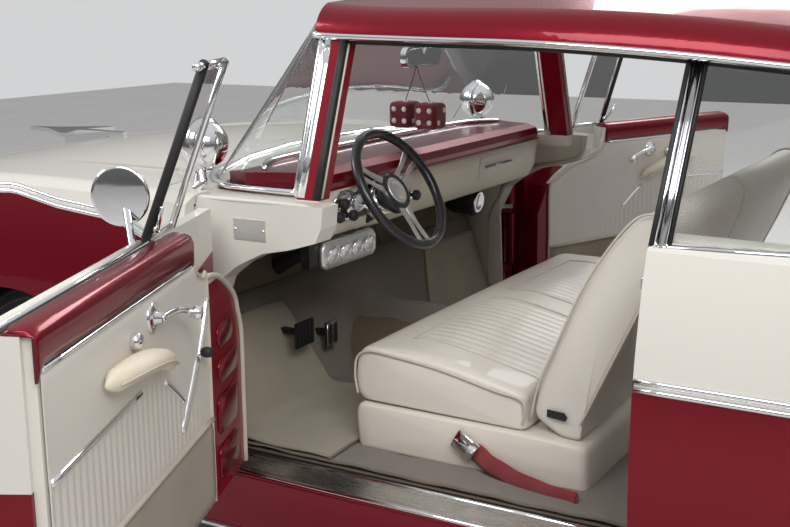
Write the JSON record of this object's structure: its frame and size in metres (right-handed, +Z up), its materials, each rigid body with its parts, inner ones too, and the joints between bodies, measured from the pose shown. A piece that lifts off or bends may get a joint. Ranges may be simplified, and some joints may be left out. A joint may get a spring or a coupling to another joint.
{
  "type": "1950s two-door hardtop car",
  "caption": "Full-size 1950s two-tone hardtop car with wraparound windshield, bench seats and open doors, on rolling and steering wheels.",
  "frame": {"origin": "centre of the bounding box in plan, on the ground below the tyres", "axes": "-Y to the front of the car, +X to the driver's side, +Z up"},
  "size_m": [3.9292, 5.332, 1.5271],
  "materials": {
    "body_cream": "gloss",
    "body_red": "gloss",
    "bright_chrome": "polished",
    "wheel_chrome": "polished",
    "tyre_rubber": "matte",
    "chassis_black": "satin",
    "engine_iron": "matte",
    "exhaust_steel": "brushed",
    "floor_paint": "satin",
    "door_trim_vinyl": "satin",
    "seat_vinyl": "satin",
    "seat_base_fabric": "matte",
    "lamp_glass": "polished",
    "lamp_red": "polished",
    "window_glass": "polished",
    "wheel_black": "gloss",
    "pedal_rubber": "matte",
    "mirror_face": "polished",
    "dice_plush": "matte"
  },
  "bodies": {
    "body": {"chassis_frame": "chassis_black", "cowl": "body_red", "dashboard": "body_red", "dice": "dice_plush", "engine": "engine_iron", "exhaust": "exhaust_steel", "fender_left": "body_cream", "fender_right": "body_cream", "floor_pan": "floor_paint", "front_bumper": "bright_chrome", "front_seat_base": "seat_base_fabric", "front_seat_cushion": "seat_vinyl", "front_seatback_left": "seat_vinyl", "front_seatback_right": "seat_vinyl", "front_structure": "body_cream", "front_suspension": "chassis_black", "fuel_tank": "chassis_black", "grille": "bright_chrome", "headlamps": "lamp_glass", "inside_mirror": "mirror_face", "pedals": "pedal_rubber", "quarter_left": "body_cream", "quarter_right": "body_cream", "quarter_window_left": "window_glass", "quarter_window_right": "window_glass", "rear_axle": "chassis_black", "rear_bumper": "bright_chrome", "rear_deck": "body_red", "rear_glass": "window_glass", "rear_panel": "body_cream", "rear_seat": "seat_vinyl", "roof": "body_red", "spotlights": "bright_chrome", "steering_column": "body_red", "tail_lamps": "lamp_red", "toe_board": "floor_paint", "windshield": "window_glass"},
    "door_left": {"door_left": "body_cream", "door_trim_left": "door_trim_vinyl", "vent_window_left": "window_glass", "door_mirror": "bright_chrome"},
    "door_right": {"door_right": "body_cream", "door_trim_right": "door_trim_vinyl", "vent_window_right": "window_glass"},
    "hood": {"hood": "body_cream", "hood_ornament": "bright_chrome"},
    "trunk_lid": {"trunk_lid": "body_cream"},
    "steering_wheel": {"steering_wheel": "wheel_black"},
    "knuckle_left": {"knuckle_left": "chassis_black"},
    "knuckle_right": {"knuckle_right": "chassis_black"},
    "wheel_front_left": {"tyre_front_left": "tyre_rubber", "rim_front_left": "wheel_chrome"},
    "wheel_front_right": {"tyre_front_right": "tyre_rubber", "rim_front_right": "wheel_chrome"},
    "wheel_rear_left": {"tyre_rear_left": "tyre_rubber", "rim_rear_left": "wheel_chrome"},
    "wheel_rear_right": {"tyre_rear_right": "tyre_rubber", "rim_rear_right": "wheel_chrome"}
  },
  "joints": [
    {"name": "door_left_hinge", "type": "hinge", "parent": "body", "child": "door_left", "pos_m": [0.926, -1.1, 0.585], "axis": [0, 0, 1], "range_deg": [0, 68]},
    {"name": "door_right_hinge", "type": "hinge", "parent": "body", "child": "door_right", "pos_m": [-0.926, -1.1, 0.585], "axis": [0, 0, -1], "range_deg": [0, 68]},
    {"name": "hood_hinge", "type": "hinge", "parent": "body", "child": "hood", "pos_m": [0, -1.414, 1.031], "axis": [-1, 0, 0], "range_deg": [0, 55]},
    {"name": "trunk_hinge", "type": "hinge", "parent": "body", "child": "trunk_lid", "pos_m": [0, 1.278, 0.984], "axis": [1, 0, 0], "range_deg": [0, 60]},
    {"name": "steering_wheel_turn", "type": "hinge", "parent": "body", "child": "steering_wheel", "pos_m": [0.38, -0.822, 0.975], "axis": [0, 0.8499, 0.527], "range_deg": [-720, 720]},
    {"name": "steer_left", "type": "hinge", "parent": "body", "child": "knuckle_left", "pos_m": [0.655, -1.7, 0.3555], "axis": [0, 0, 1], "range_deg": [-32, 32]},
    {"name": "wheel_front_left_spin", "type": "hinge", "parent": "knuckle_left", "child": "wheel_front_left", "pos_m": [0.74, -1.7, 0.3555], "axis": [1, 0, 0], "continuous": true},
    {"name": "wheel_rear_left_spin", "type": "hinge", "parent": "body", "child": "wheel_rear_left", "pos_m": [0.75, 1.31, 0.3555], "axis": [1, 0, 0], "continuous": true},
    {"name": "steer_right", "type": "hinge", "parent": "body", "child": "knuckle_right", "pos_m": [-0.655, -1.7, 0.3555], "axis": [0, 0, 1], "range_deg": [-32, 32]},
    {"name": "wheel_front_right_spin", "type": "hinge", "parent": "knuckle_right", "child": "wheel_front_right", "pos_m": [-0.74, -1.7, 0.3555], "axis": [1, 0, 0], "continuous": true},
    {"name": "wheel_rear_right_spin", "type": "hinge", "parent": "body", "child": "wheel_rear_right", "pos_m": [-0.75, 1.31, 0.3555], "axis": [1, 0, 0], "continuous": true}
  ],
  "couplings": [
    {"joint": "steer_left", "follows": "steering_wheel_turn", "ratio": 0.0444},
    {"joint": "steer_right", "follows": "steering_wheel_turn", "ratio": 0.0444}
  ]
}
